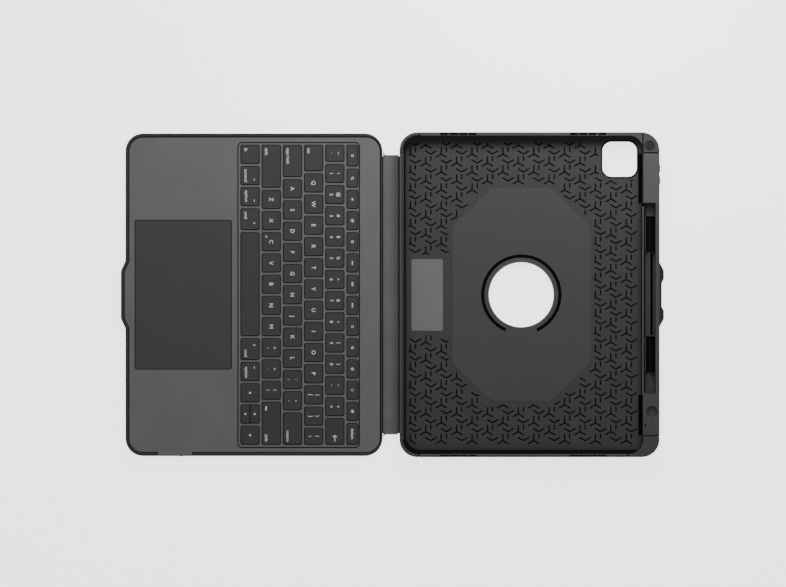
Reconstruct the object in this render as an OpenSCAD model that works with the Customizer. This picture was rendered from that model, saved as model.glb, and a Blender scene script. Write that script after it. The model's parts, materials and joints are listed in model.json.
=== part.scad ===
// Folding keyboard case for a large tablet, lying open and flat.
// X runs from the user's edge of the keyboard towards the tablet tray, Y along the fold lines,
// Z up. The origin is on the table, at the middle of the open case.

/* [Overall] */
// Length of the open case, from the tip of one closing tab to the tip of the other
total_len = 488.4; // [487.4:0.1:494]
// Thickness of the cover panels and of the spine
panel_t = 1.6; // [1.5:0.1:1.8]
// Clearance between pieces that move past each other
gap = 0.3; // [0.2:0.05:0.3]
// Outer corner radius of both halves
corner_r = 16; // [12:0.5:18]

/* [Keyboard half] */
// Size of the front cover across the fold lines, without its closing tab
cover_w = 231; // [230.6:0.1:231.5]
// Size of the front cover along the fold lines
cover_d = 290; // [289:0.5:291]
// How far the closing tab stands out of the front cover
front_tab = 4.2; // [2:0.1:5]
// Width of the raised rim
rim_w = 2.9; // [2.5:0.1:3]
// Height of the rim's top above the table
rim_top = 5.8; // [5.7:0.1:6]
// Height of the deck's surface above the table
deck_top = 5.6; // [5.5:0.05:5.7]
// Thickness of the deck
deck_t = 0.9; // [0.8:0.05:1]
// Width of the rim's cut-out for the port and the switch
port_bay_w = 31.8; // [30:0.1:34]
// Distance from the front cover's outer edge to that cut-out
port_bay_x = 28.5; // [27:0.5:30]

/* [Trackpad] */
// Size of the trackpad across the fold lines
pad_w = 86.2; // [84:0.1:87]
// Size of the trackpad along the fold lines
pad_d = 133.3; // [130:0.1:135]
// Distance from the front cover's outer edge to the trackpad
pad_x = 8.9; // [8.5:0.1:9.5]

/* [Keys] */
// Pitch of a square key
key_unit = 19.05; // [18.8:0.05:19.1]
// Width of the web left between two key openings
web = 2; // [1.8:0.1:2.4]
// Height of the keycaps' tops above the table
cap_top = 6.1; // [6:0.05:6.1]
// Height of a keycap
cap_h = 1.25; // [1.1:0.05:1.25]
// Corner radius of a keycap
cap_r = 1.5; // [1:0.1:2]
// Size of the function keys' openings across the row
fn_depth = 10.6; // [10:0.1:11]

/* [Spine] */
// Length of the spine along the fold lines
spine_len = 251.4; // [245:0.1:255]

/* [Tray] */
// Size of the tray across the fold lines
tray_w = 233.3; // [233:0.1:233.6]
// Size of the tray along the fold lines
tray_d = 291.6; // [291:0.1:292]
// How far the closing tab stands out beyond the tray
rear_tab = 4.6; // [3:0.1:6]
// Height of the tray's underside above the table
tray_z = 2.8; // [2.7:0.05:2.9]
// Height of the tray's top above the table
tray_top = 11.6; // [11.5:0.1:11.8]
// Thickness of the tray's floor
floor_t = 1.6; // [1.4:0.1:1.8]
// Width of the hard frame round the pocket
frame_w = 2.9; // [2.5:0.1:3]
// Width of the rail beside the pocket that holds the stylus
rail_w = 16.4; // [16:0.1:17]
// Radius of the hole in the middle of the hub
hub_r = 29.1; // [27:0.1:29.5]
// Distance from the tray's fold edge to the hub's axis
hub_x = 109.5; // [109:0.5:112]

/* [Hidden] */
$fn = 64;
eps = 0.01;
run_fit = 0.05;

// Plan positions of the two halves
cover_x0 = -total_len / 2 + front_tab;
cover_x1 = cover_x0 + cover_w;
tray_x1 = total_len / 2 - rear_tab;
tray_x0 = tray_x1 - tray_w;
hub_c = [tray_x0 + hub_x, 0];

// Fold lines: one on each side of the spine, one across the back cover, and one at the
// foot of the stand leg. Folded up, the frame's top stops short of the rim.
front_axis = cover_x1 + gap;
rear_axis = front_axis + rim_top + tray_top + gap - 2 * panel_t;
stand_axis = hub_c[0] - 38.8;
fold_gap = 0.8;

// Stand leg: a stiff flap inside the lower back cover, with a rounded foot as its hinge
leg_t = 0.75;
leg_z = panel_t - leg_t;
leg_axis = rear_axis + 3.6;
heel_w = 1.4;

// Keyboard unit
unit_x0 = cover_x0 + rim_w + gap;
unit_x1 = cover_x1 - 2.1;
unit_y = cover_d / 2 - 3.4;
unit_r = corner_r - 3.3;
base_z = panel_t;
base_t = 0.8;
base_wall = 1.4;
deck_z = deck_top - deck_t;
bay_x0 = cover_x0 + port_bay_x;
pad_x0 = cover_x0 + pad_x;
pad_x1 = pad_x0 + pad_w;
pad_z = 4.95;
pad_top = deck_top + 0.05;

// Key field
field_x0 = cover_x0 + 100.9;
field_x1 = field_x0 + 109.5;
field_y0 = -137.5;
field_y1 = 136.9;
field_r = 4;
keys_y = 135.7;
first_row_x = field_x0 + 11.1;
fn_row_x = first_row_x + 92;
frame_z = 4.6;
frame_top = 5.4;
skirt_t = 0.5;
plate_z = 2.5;
membrane_z = 2.8;
dome_z = 3.1;
cap_z = cap_top - cap_h;

// Widths of the keys in each row, in key units, from the space row to the function row
function row_of(first, n, last) = concat([first], [for (i = [1:n]) 1], [last]);
key_rows = [
    [1, 1, 1, 1.125, 5, 1.125, 1, 1, 1, 1],
    row_of(2.125, 10, 2.125),
    row_of(1.625, 11, 1.625),
    row_of(1.35, 12, 0.9),
    row_of(0.9, 12, 1.35),
    row_of(1.125, 12, 1.125)
];
fn_row = 5;
split_key = 8;
function units_before(row, i) = i == 0 ? 0 : units_before(row, i - 1) + key_rows[row][i - 1];
function key_x(row) = row == fn_row ? fn_row_x : first_row_x + row * key_unit;
function key_y(row, i) = keys_y - (units_before(row, i) + key_rows[row][i] / 2) * key_unit;
function hole_w(row) = row == fn_row ? fn_depth : key_unit - web;
function hole_d(row, i) = key_rows[row][i] * key_unit - web;

// Port bay
port_c = [bay_x0 + 8.5, -cover_d / 2, 3.5];
port_size = [9, 7.3, 3.2];
switch_c = [bay_x0 + 23, -cover_d / 2, 3.5];

// Screws that hold the deck to the base
screw_xs = [cover_x0 + 5.8, cover_x0 + 98, cover_x0 + 212.5];
screw_head_r = 1.5;
screw_shank_r = 0.8;
screw_hole_r = 1.55;
screw_ys = [-120, -40, 40, 120];

// Tray
frame_x0 = tray_x0 + frame_w;
frame_x1 = tray_x1 - 14.7;
frame_y = tray_d / 2 - frame_w;
frame_r = corner_r - frame_w;
rail_x0 = tray_x1 - rail_w;
floor_top = tray_z + floor_t;
hub_plate_top = floor_top + 0.2;
lip_z = 11;
liner_top = 11.4;
liner_side = 0.6;
liner_end = 2.4;
seam_left = [-126, 128];
seam_right = [-126.8, 127.4];
seam_x = tray_x0 + 17.6;
seam_low_x = tray_x0 + 204.8;

// Hub
sleeve_wall = 1.9;
sleeve_r = hub_r + sleeve_wall;
retainer_r = sleeve_r + 5;
washer_r = 38;
flange_z = 0.3;
flange_top = 1.15;
bolt_r = 0.9;

// Hub plate, label, camera window
plate_size = [124.7, 191.5];
plate_cut = [35, 34];
plate_r = 12;
plate_depth = 0.8;
groove_w = 2.8;
groove_in = 4.2;
groove_d = 0.5;
groove_turn = 312;
label_depth = 0.6;
label_x0 = tray_x0 + 10.6;
label_size = [28.6, 65];
window_c = [tray_x0 + 197.9, 121.8];
window_size = [31.0, 31.4];
window_r = 8.3;
window_clear = 2;
gasket_w = 1.4;

// Rail
channel_x0 = tray_x1 - 12.9;
channel_x1 = tray_x1 - 3.6;
channel_y = [-88.7, 82.1];
channel_z = 4;
stylus_r = 4.5;
stylus_z = 8.9;
grip_y = [[38.9, 70.4], [-69.6, -37.5]];
panel_y = [82.5, 126.2];
button_y = [113.5, 102.6];
button_z = 7.2;
speaker_x = [hub_c[0] - 56.7, hub_c[0] + 59.7];

// Rounded rectangle between two corners
module plate_2d(x0, y0, x1, y1, r) {
    translate([x0 + r, y0]) square([x1 - x0 - 2 * r, y1 - y0]);
    translate([x0, y0 + r]) square([x1 - x0, y1 - y0 - 2 * r]);
    for (x = [x0 + r, x1 - r], y = [y0 + r, y1 - r])
        translate([x, y]) circle(r);
}

// Flat piece from z0 to z1 over a 2D outline
module slab(z0, z1) {
    translate([0, 0, z0]) linear_extrude(z1 - z0) children();
}

// Box between two corners
module block(lo, hi) {
    translate(lo) cube(hi - lo);
}

module ring(r_in, r_out, z0, z1) {
    translate([hub_c[0], hub_c[1], z0]) difference() {
        cylinder(r = r_out, h = z1 - z0);
        translate([0, 0, -1]) cylinder(r = r_in, h = z1 - z0 + 2);
    }
}

// ---- Keyboard half ----

// The closing tab of the front cover, moved in with the outline it belongs to. Its
// sloping sides come to the same inset when they close up by a fifth of it.
module front_tab_2d(inset) {
    side = [[0, 32], [-0.06, 29.8], [-0.94, 22.2], [-1, 20]];
    close = 0.2 * inset;
    translate([cover_x0 + inset, 0]) polygon(concat(
        [[1, 32]],
        [for (p = side) [p[0] * front_tab, p[1] - close]],
        [for (i = [3:-1:0]) [side[i][0] * front_tab, close - side[i][1]]],
        [[1, -32]]
    ));
}

module cover_2d() {
    plate_2d(cover_x0, -cover_d / 2, cover_x1, cover_d / 2, corner_r);
    front_tab_2d(0);
}

// The keyboard unit's outline, with the closing tab and the one that fills the port bay
module unit_2d() {
    plate_2d(unit_x0, -unit_y, unit_x1, unit_y, unit_r);
    front_tab_2d(rim_w + gap);
    translate([bay_x0 + gap, -cover_d / 2]) square([port_bay_w - 2 * gap, 10]);
}

module port_hole(clear) {
    translate([port_c[0] - port_size[0] / 2 - clear, port_c[1] - 1, port_c[2] - port_size[2] / 2 - clear])
        cube([port_size[0] + 2 * clear, port_size[1] + 1 + clear, port_size[2] + 2 * clear]);
}

module front_cover() {
    color("#343436") slab(0, panel_t) cover_2d();
}

module front_rim() {
    color("#38383a") slab(panel_t, rim_top) difference() {
        cover_2d();
        plate_2d(cover_x0 + rim_w, -cover_d / 2 + rim_w + 0.2, cover_x1 - 1.8,
            cover_d / 2 - rim_w - 0.2, corner_r - rim_w);
        front_tab_2d(rim_w);
        translate([bay_x0, -cover_d / 2 - 1]) square([port_bay_w, 10]);
    }
}

module keyboard_base() {
    color("#3c3c3e") difference() {
        slab(base_z, deck_z) unit_2d();
        slab(base_z + base_t, deck_z + 1)
            plate_2d(unit_x0 + base_wall, -unit_y + base_wall, unit_x1 - base_wall,
                unit_y - base_wall, unit_r - base_wall);
        slab(base_z + base_t, deck_z + 1)
            translate([bay_x0 + 2, -cover_d / 2 + base_wall]) square([port_bay_w - 4, 10]);
        port_hole(0);
        block([switch_c[0] - 3, switch_c[1] - 1, switch_c[2] - 0.9],
            [switch_c[0] + 3, switch_c[1] + base_wall + 1, switch_c[2] + 0.9]);
        for (x = screw_xs, y = screw_ys)
            translate([x, y, base_z - 1]) cylinder(r = screw_hole_r, h = base_t + 2);
    }
}

module top_deck() {
    color("#636365") difference() {
        union() {
            slab(deck_z, deck_top) unit_2d();
            for (x = screw_xs, y = screw_ys)
                translate([x, y, base_z + base_t]) cylinder(r = screw_head_r, h = deck_z - base_z - base_t);
        }
        slab(deck_z - 1, deck_top + 1)
            plate_2d(field_x0, field_y0, field_x1, field_y1, field_r);
        slab(deck_z - 1, deck_top + 1)
            plate_2d(pad_x0 - gap, -pad_d / 2 - gap, pad_x1 + gap, pad_d / 2 + gap, 1.8);
        port_hole(0);
        for (x = screw_xs, y = screw_ys)
            translate([x, y, base_z]) cylinder(r = screw_shank_r, h = deck_z - base_z);
    }
}

module deck_screws() {
    color("#8a8a8c") for (x = screw_xs, y = screw_ys) translate([x, y, 0]) {
        translate([0, 0, base_z + run_fit]) cylinder(r = screw_head_r, h = base_t - run_fit);
        translate([0, 0, base_z + base_t]) cylinder(r = screw_shank_r, h = deck_z - base_z - base_t - 0.1);
    }
}

// Outline of the opening or of the cap of one key
module key_2d(row, i, w, d, r) {
    translate([key_x(row), key_y(row, i)]) plate_2d(-w / 2, -d / 2, w / 2, d / 2, r);
}

module key_frame() {
    edge = 0.5;
    color("#606062") {
        slab(frame_z, frame_top) difference() {
            plate_2d(field_x0 + edge, field_y0 + edge, field_x1 - edge, field_y1 - edge,
                field_r - edge);
            for (row = [0:fn_row], i = [0:len(key_rows[row]) - 1])
                key_2d(row, i, hole_w(row), hole_d(row, i), cap_r + gap);
        }
        slab(dome_z, frame_z) difference() {
            plate_2d(field_x0 + edge, field_y0 + edge, field_x1 - edge, field_y1 - edge,
                field_r - edge);
            plate_2d(field_x0 + edge + skirt_t, field_y0 + edge + skirt_t,
                field_x1 - edge - skirt_t, field_y1 - edge - skirt_t,
                field_r - edge - skirt_t);
        }
    }
}

module support_plate() {
    color("#8d9093") slab(plate_z, membrane_z)
        plate_2d(field_x0 + 0.5, field_y0 + 0.5, field_x1 - 0.5, field_y1 - 0.5, field_r);
}

module key_membrane() {
    color("#3f6b5a") slab(membrane_z, dome_z)
        plate_2d(field_x0 + 0.5, field_y0 + 0.5, field_x1 - 0.5, field_y1 - 0.5, field_r);
}

// Places the children under every key
module under_keys() {
    for (row = [0:fn_row], i = [0:len(key_rows[row]) - 1])
        if (row == 0 && i == split_key) {
            for (side = [-1, 1])
                translate([key_x(row) + side * hole_w(row) / 4, key_y(row, i), 0]) children();
        } else {
            translate([key_x(row), key_y(row, i), 0]) children();
        }
}

module rubber_domes() {
    color("#b9bcc0") under_keys()
        translate([0, 0, dome_z]) cylinder(r1 = 2.1, r2 = 1.3, h = cap_z - dome_z - 0.05);
}

module scissor_links() {
    color("#d8d8d8") under_keys() difference() {
        block([-3.6, -4.6, dome_z + 0.2], [3.6, 4.6, cap_z - 0.35]);
        block([-2.7, -3.6, dome_z], [2.7, 3.6, cap_z]);
    }
}

module battery_cells() {
    color("#9aa0a6") {
        block([pad_x0 + 1, pad_d / 2 + 8, base_z + base_t + 0.1], [pad_x1 - 4, 134, deck_z - 0.2]);
        block([pad_x1 - 32, -134, base_z + base_t + 0.1], [pad_x1 - 4, -pad_d / 2 - 8, deck_z - 0.2]);
    }
}

module main_board() {
    board_x1 = pad_x1 - 36;
    color("#1f5c3a") {
        block([pad_x0 + 1, -136, plate_z + 0.2], [board_x1, -pad_d / 2 - 8, plate_z + 1]);
        for (n = [0:3])
            translate([pad_x0 + 10 + 9 * n, -90 - 9 * n, plate_z + 1]) cube([7, 7, 0.9]);
    }
}

module trackpad_module() {
    color("#2d6a4a") {
        block([pad_x0 + 2, -pad_d / 2 + 2, plate_z + 0.4], [pad_x1 - 2, pad_d / 2 - 2, plate_z + 1.6]);
        translate([(pad_x0 + pad_x1) / 2, 0, plate_z + 1.6]) cylinder(r = 3, h = 0.45);
    }
}

module stand_magnets() {
    color("#b4b6ba") for (y = [-110, -70, -30, 30, 70, 110])
        translate([unit_x1 - 13.9, y - 6, plate_z]) cube([10, 12, deck_z - plate_z - 0.1]);
}

// Socket shell with its contact tongue, open towards the user's right-hand side
module usb_port() {
    half = [port_size[0] / 2, port_size[2] / 2];
    wall = 0.3;
    color("#a7a9ac") translate([port_c[0], port_c[1] + port_size[1], port_c[2]]) rotate([90, 0, 0]) {
        difference() {
            linear_extrude(port_size[1]) plate_2d(-half[0], -half[1], half[0], half[1], half[1] - eps);
            translate([0, 0, 1]) linear_extrude(port_size[1])
                plate_2d(-half[0] + wall, -half[1] + wall, half[0] - wall, half[1] - wall,
                    half[1] - wall - eps);
        }
        translate([-3.3, -0.35, 1]) cube([6.6, 0.7, port_size[1] - 2]);
    }
}

module power_switch() {
    color("#1c1c1d") {
        block([switch_c[0] - 2.6, switch_c[1] - 0.4, switch_c[2] - 0.6],
            [switch_c[0] - 0.2, switch_c[1] + base_wall + 0.4, switch_c[2] + 0.6]);
    }
}

module trackpad() {
    color("#424244") slab(pad_z, pad_top)
        plate_2d(pad_x0, -pad_d / 2, pad_x1, pad_d / 2, 1.5);
}

// ---- Keycaps ----

module caps(row, first, last) {
    color("#3d3d3f") for (i = [first:last])
        slab(cap_z, cap_top) key_2d(row, i, hole_w(row) - 2 * gap, hole_d(row, i) - 2 * gap, cap_r);
}

// One half of the opening that two arrow keys share
module half_cap(side) {
    w = (hole_w(0) - 3 * gap) / 2;
    d = hole_d(0, split_key) - 2 * gap;
    color("#3d3d3f") slab(cap_z, cap_top)
        translate([key_x(0) + side * (w + gap) / 2, key_y(0, split_key)])
            plate_2d(-w / 2, -d / 2, w / 2, d / 2, cap_r);
}

module key_space() { caps(0, 4, 4); }
module key_arrow_left() { caps(0, 7, 7); }
module key_arrow_up() { half_cap(1); }
module key_arrow_down() { half_cap(-1); }
module key_arrow_right() { caps(0, 9, 9); }
module keys_modifiers() {
    caps(0, 0, 3);
    caps(0, 5, 6);
}
module key_left_shift() { caps(1, 0, 0); }
module key_right_shift() { caps(1, 11, 11); }
module keys_lower_letters() { caps(1, 1, 10); }
module key_caps_lock() { caps(2, 0, 0); }
module keys_home_letters() { caps(2, 1, 11); }
module key_return() { caps(2, 12, 12); }
module key_tab() { caps(3, 0, 0); }
module keys_upper_letters() { caps(3, 1, 13); }
module keys_numbers() { caps(4, 0, 12); }
module key_backspace() { caps(4, 13, 13); }
module keys_function() { caps(5, 0, 13); }

// ---- Spine and folds ----

module fold_strip(x0, x1, z0, z1) {
    color("#3a3a3c") block([x0, -spine_len / 2 + 1, z0], [x1, spine_len / 2 - 1, z1]);
}

module spine_fabric() {
    x0 = front_axis + gap;
    x1 = rear_axis - fold_gap;
    color("#5b5b5d") difference() {
        block([x0, -spine_len / 2, 0], [x1, spine_len / 2, panel_t]);
        block([x0 + 1, -spine_len / 2 + 2, 0.5], [x1 - 1, spine_len / 2 - 2, panel_t - 0.5]);
    }
}

module spine_board() {
    color("#8b7f6d") block([front_axis + gap + 1, -spine_len / 2 + 2, 0.5],
        [rear_axis - fold_gap - 1, spine_len / 2 - 2, panel_t - 0.5]);
}

module front_hinge_fabric() { fold_strip(cover_x1, front_axis + gap, 0.4, 1.2); }

module rear_hinge_fabric() { fold_strip(rear_axis - fold_gap, rear_axis + fold_gap, 0.2, 0.9); }

// ---- Back cover ----

module back_2d() {
    notch = rear_tab - 2;
    half = [[-2, 31], [0, 30.2], [rear_tab - 0.5, 22.6], [rear_tab, 20.6], [rear_tab, 14.2],
        [notch + 0.2, 11], [notch, 10]];
    tab = concat(half, [for (i = [len(half) - 1:-1:0]) [half[i][0], -half[i][1]]]);
    y = tray_d / 2 - 0.8;
    plate_2d(rear_axis + fold_gap, -y, tray_x1 - 0.2, y, corner_r);
    translate([tray_x1, 0]) polygon(tab);
}

module window_2d(grow) {
    half = window_size / 2 + [grow, grow];
    translate(window_c) plate_2d(-half[0], -half[1], half[0], half[1], window_r + grow);
}

// The back cover's outline between two lines across it
module back_part_2d(x0, x1) {
    intersection() {
        back_2d();
        translate([x0, -tray_d / 2]) square([x1 - x0, tray_d]);
    }
}

// The lower back cover: full thickness along the spine, thin under the stand leg
module back_lower_panel() {
    heel_x = rear_axis + fold_gap + heel_w;
    color("#343436") {
        slab(0, leg_z - 0.1) back_part_2d(0, stand_axis - gap);
        slab(0, panel_t) back_part_2d(0, heel_x);
    }
}

module stand_leg() {
    color("#2e2e30") {
        slab(leg_z, panel_t) back_part_2d(leg_axis, stand_axis - gap);
        translate([leg_axis, spine_len / 2, leg_z + leg_t / 2]) rotate([90, 0, 0])
            cylinder(r = leg_t / 2, h = spine_len);
    }
}

module back_upper_panel() {
    color("#343436") difference() {
        slab(0, panel_t) difference() {
            back_part_2d(stand_axis + gap, tray_x1 + rear_tab);
            window_2d(window_clear);
        }
        translate([hub_c[0], hub_c[1], -1]) cylinder(r = sleeve_r + run_fit, h = panel_t + 2);
        translate([hub_c[0], hub_c[1], -1]) cylinder(r = retainer_r + gap, h = 1 + flange_top);
    }
}

module stand_hinge_fabric() { fold_strip(stand_axis - gap, stand_axis + gap, 0.1, 0.7); }

module bearing_washer() {
    color("#d9d9d4") ring(sleeve_r + run_fit, washer_r, panel_t, tray_z - run_fit);
}

// ---- Tray ----

module hub_sleeve() {
    color("#4a4a4c") ring(hub_r, sleeve_r, flange_z, hub_plate_top);
}

// Six small bolts on a circle through the retainer
module retainer_bolts(z0, z1) {
    for (a = [0:60:300])
        translate([hub_c[0], hub_c[1], 0]) rotate(a) translate([(sleeve_r + retainer_r) / 2, 0, z0])
            cylinder(r = bolt_r, h = z1 - z0);
}

module retainer_ring() {
    color("#77797c") difference() {
        ring(sleeve_r, retainer_r, flange_z, flange_top - run_fit);
        retainer_bolts(-1, 2);
    }
}

module retainer_screws() {
    color("#9a9c9f") retainer_bolts(flange_z, flange_top - run_fit);
}

module frame_2d() {
    difference() {
        plate_2d(tray_x0, -tray_d / 2, tray_x1, tray_d / 2, corner_r);
        pocket_2d();
    }
}

module pocket_2d() {
    plate_2d(frame_x0, -frame_y, frame_x1, frame_y, frame_r);
}

// Octagon with rounded corners: each corner is an arc of plate_r between its two sides
module hub_plate_2d() {
    h = plate_size / 2;
    c = plate_cut;
    slope = atan(c[1] / c[0]);
    near_end = plate_r * tan(slope / 2);
    near_side = plate_r * tan(45 - slope / 2);
    steps = [0:1 / 6:1];
    quarter = concat(
        [for (t = steps) [h[0] - plate_r + plate_r * cos(t * (90 - slope)),
            h[1] - c[1] - near_side + plate_r * sin(t * (90 - slope))]],
        [for (t = steps) [h[0] - c[0] - near_end + plate_r * cos(90 - slope + t * slope),
            h[1] - plate_r + plate_r * sin(90 - slope + t * slope)]]
    );
    n = len(quarter) - 1;
    translate(hub_c) polygon(concat(
        quarter,
        [for (i = [n:-1:0]) [-quarter[i][0], quarter[i][1]]],
        [for (i = [0:n]) [-quarter[i][0], -quarter[i][1]]],
        [for (i = [n:-1:0]) [quarter[i][0], -quarter[i][1]]]
    ));
}

module label_2d() {
    plate_2d(label_x0, -label_size[1] / 2, label_x0 + label_size[0], label_size[1] / 2, 2.3);
}

module tray_floor() {
    color("#414143") difference() {
        slab(tray_z, floor_top) difference() {
            pocket_2d();
            window_2d(gasket_w);
            translate(hub_c) circle(sleeve_r);
        }
        slab(floor_top - plate_depth, floor_top + 1) hub_plate_2d();
        slab(floor_top - label_depth, floor_top + 1) label_2d();
    }
}

module hub_plate() {
    color("#4d4d4f") difference() {
        slab(floor_top - plate_depth, hub_plate_top) hub_plate_2d();
        translate([hub_c[0], hub_c[1], 0]) cylinder(r = sleeve_r, h = tray_top);
        translate([hub_c[0], hub_c[1], hub_plate_top - groove_d]) rotate(90 - groove_turn / 2)
            rotate_extrude(angle = groove_turn) translate([hub_r + groove_in, 0]) square([groove_w, 1]);
    }
}

module label_plate() {
    color("#6b6b6d") slab(floor_top - label_depth, floor_top - label_depth / 2) label_2d();
}

module camera_gasket() {
    color("#1e1e1f") slab(tray_z, hub_plate_top) difference() {
        window_2d(gasket_w);
        window_2d(0);
    }
}

// Soft lining of the pocket's three closed sides, with a lip over the tablet's edge
module inner_liner() {
    color("#242425") {
        slab(floor_top, lip_z) difference() {
            pocket_2d();
            plate_2d(frame_x0 + liner_side, -frame_y + liner_end, frame_x1 + 40,
                frame_y - liner_end, frame_r + 1);
        }
        slab(lip_z, liner_top) difference() {
            pocket_2d();
            plate_2d(frame_x0 + 2.7, -frame_y + 3.8, frame_x1 + 40, frame_y - 3.8, frame_r);
            translate([rail_x0, -tray_d / 2]) square([rail_w, tray_d]);
        }
    }
}

// The part of the hard frame between two corners
module frame_part(x0, y0, x1, y1) {
    slab(tray_z, tray_top) intersection() {
        frame_2d();
        translate([x0, y0]) square([x1 - x0, y1 - y0]);
    }
}

// Four sound slots in an end wall, open upwards
module speaker_slots(side) {
    for (x = speaker_x, n = [0:3])
        translate([x + (n - 1.5) * 8.4 - 3.6, side * (tray_d / 2 - frame_w / 2) - 0.6, tray_top - 2])
            cube([7.2, 1.2, 3]);
}

module left_bumper() {
    color("#3a3a3c") frame_part(tray_x0, seam_left[0] + eps, frame_x0, seam_left[1] - eps);
}

module top_bumper() {
    color("#5a5a5c") difference() {
        frame_part(seam_x + eps, 0, frame_x1 - eps, tray_d / 2);
        speaker_slots(1);
    }
}

module bottom_bumper() {
    color("#39393b") difference() {
        frame_part(seam_x + eps, -tray_d / 2, seam_low_x - eps, 0);
        speaker_slots(-1);
    }
}

module corner_bumpers() {
    color("#2f2f31") {
        frame_part(tray_x0, seam_left[1], seam_x, tray_d / 2);
        frame_part(tray_x0, -tray_d / 2, seam_x, seam_left[0]);
        frame_part(frame_x1, seam_right[1], tray_x1, tray_d / 2);
        frame_part(seam_low_x, -tray_d / 2, tray_x1, seam_right[0]);
    }
}

module button_slot(y, grow) {
    translate([tray_x1 + 2, y, button_z]) rotate([0, -90, 0]) linear_extrude(6.1)
        plate_2d(-1.3 - grow, -3.6 - grow, 1.3 + grow, 3.6 + grow, 1.2 + grow);
}

module stylus_rail() {
    color("#3a3a3c") difference() {
        union() {
            block([frame_x1, seam_right[0] + eps, tray_z], [tray_x1, seam_right[1] - eps, tray_top]);
            block([rail_x0, seam_right[0] + eps, lip_z], [frame_x1, seam_right[1] - eps, tray_top]);
        }
        block([channel_x0, channel_y[0], channel_z], [channel_x1, channel_y[1], tray_top + 1]);
        block([frame_x1 + gap, panel_y[0], tray_top - 0.8], [tray_x1 - 0.4, panel_y[1], tray_top + 1]);
        for (y = button_y) button_slot(y, gap);
        translate([tray_x1 - 6.9, -104.9, tray_top - 3]) cylinder(r = 5, h = 4);
        block([tray_x1 - 13.3, -119, tray_top - 1], [tray_x1 - 12.1, -116, tray_top + 1]);
    }
}

module stylus_grips() {
    middle = (channel_x0 + channel_x1) / 2;
    color("#232324") for (span = grip_y) difference() {
        block([channel_x0, span[0], channel_z], [channel_x1, span[1], tray_top - 0.4]);
        translate([middle, span[1] + 1, stylus_z]) rotate([90, 0, 0])
            cylinder(r = stylus_r, h = span[1] - span[0] + 2);
    }
}

module volume_panel() {
    color("#565658") block([frame_x1 + gap + 0.05, panel_y[0] + 0.05, tray_top - 0.8],
        [tray_x1 - 0.45, panel_y[1] - 0.05, tray_top]);
}

module volume_button(y) {
    color("#2c2c2e") intersection() {
        button_slot(y, 0);
        block([tray_x1 - 3.2, y - 5, 0], [tray_x1 + 0.8, y + 5, tray_top]);
    }
}

module volume_up() { volume_button(button_y[0]); }
module volume_down() { volume_button(button_y[1]); }

front_cover();
front_rim();
keyboard_base();
top_deck();
key_frame();
support_plate();
key_membrane();
rubber_domes();
scissor_links();
battery_cells();
main_board();
trackpad_module();
stand_magnets();
usb_port();
deck_screws();
front_hinge_fabric();
trackpad();
power_switch();
key_space();
key_arrow_left();
key_arrow_up();
key_arrow_down();
key_arrow_right();
keys_modifiers();
key_left_shift();
key_right_shift();
keys_lower_letters();
key_caps_lock();
keys_home_letters();
key_return();
key_tab();
keys_upper_letters();
keys_numbers();
key_backspace();
keys_function();
spine_board();
spine_fabric();
rear_hinge_fabric();
back_lower_panel();
stand_leg();
stand_hinge_fabric();
back_upper_panel();
bearing_washer();
hub_sleeve();
retainer_ring();
retainer_screws();
tray_floor();
inner_liner();
hub_plate();
label_plate();
camera_gasket();
left_bumper();
top_bumper();
bottom_bumper();
corner_bumpers();
stylus_rail();
stylus_grips();
volume_panel();
volume_up();
volume_down();
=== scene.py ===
"""Folding tablet keyboard case: the looks of every piece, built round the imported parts."""
import json
import math

import bmesh
import bpy
from bpy.props import FloatProperty, FloatVectorProperty, PointerProperty
from mathutils import Matrix, Vector


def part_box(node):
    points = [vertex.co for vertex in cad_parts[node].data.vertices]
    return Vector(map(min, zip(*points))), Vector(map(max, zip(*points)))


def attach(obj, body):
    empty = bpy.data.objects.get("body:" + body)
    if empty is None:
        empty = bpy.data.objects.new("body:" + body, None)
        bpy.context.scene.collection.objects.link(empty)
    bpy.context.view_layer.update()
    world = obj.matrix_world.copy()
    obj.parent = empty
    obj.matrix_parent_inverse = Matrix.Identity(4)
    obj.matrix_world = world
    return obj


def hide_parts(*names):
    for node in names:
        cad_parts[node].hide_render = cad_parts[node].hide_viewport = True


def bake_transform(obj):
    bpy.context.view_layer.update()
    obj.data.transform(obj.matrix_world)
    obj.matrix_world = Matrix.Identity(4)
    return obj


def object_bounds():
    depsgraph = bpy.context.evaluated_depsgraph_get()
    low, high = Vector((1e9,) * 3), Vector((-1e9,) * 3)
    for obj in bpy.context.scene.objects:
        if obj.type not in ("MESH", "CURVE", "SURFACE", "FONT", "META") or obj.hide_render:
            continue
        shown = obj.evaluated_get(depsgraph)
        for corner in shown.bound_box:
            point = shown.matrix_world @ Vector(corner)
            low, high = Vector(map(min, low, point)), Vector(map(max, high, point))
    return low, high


bl_info = {
    "name": "Tablet keyboard case",
    "version": (1, 0, 0),
    "blender": (4, 5, 0),
    "location": "View3D > Sidebar > Case",
    "description": "Builds the looks of a folding tablet keyboard case round its packed parts",
    "category": "Object",
}

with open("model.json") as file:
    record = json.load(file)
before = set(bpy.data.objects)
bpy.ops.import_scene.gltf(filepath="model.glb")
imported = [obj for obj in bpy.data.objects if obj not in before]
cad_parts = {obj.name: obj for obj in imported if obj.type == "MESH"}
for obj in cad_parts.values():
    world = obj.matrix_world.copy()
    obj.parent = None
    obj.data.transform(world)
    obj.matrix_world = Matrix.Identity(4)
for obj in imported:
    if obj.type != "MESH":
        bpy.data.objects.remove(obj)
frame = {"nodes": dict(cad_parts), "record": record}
CAD_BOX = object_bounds()
NODES = frame["nodes"]
MM = 0.001
SLOT_OF = {p["node"]: p["material_slot"] for p in frame["record"]["subparts"]}
BODY_OF = {n: b for b, names in frame["record"]["behaviour"]["bodies"].items() for n in names}
RECORD_COLOUR = {m["slot"]: tuple(m["base_color"]) for m in frame["record"]["materials"]}


# ---- Settings ----

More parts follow.
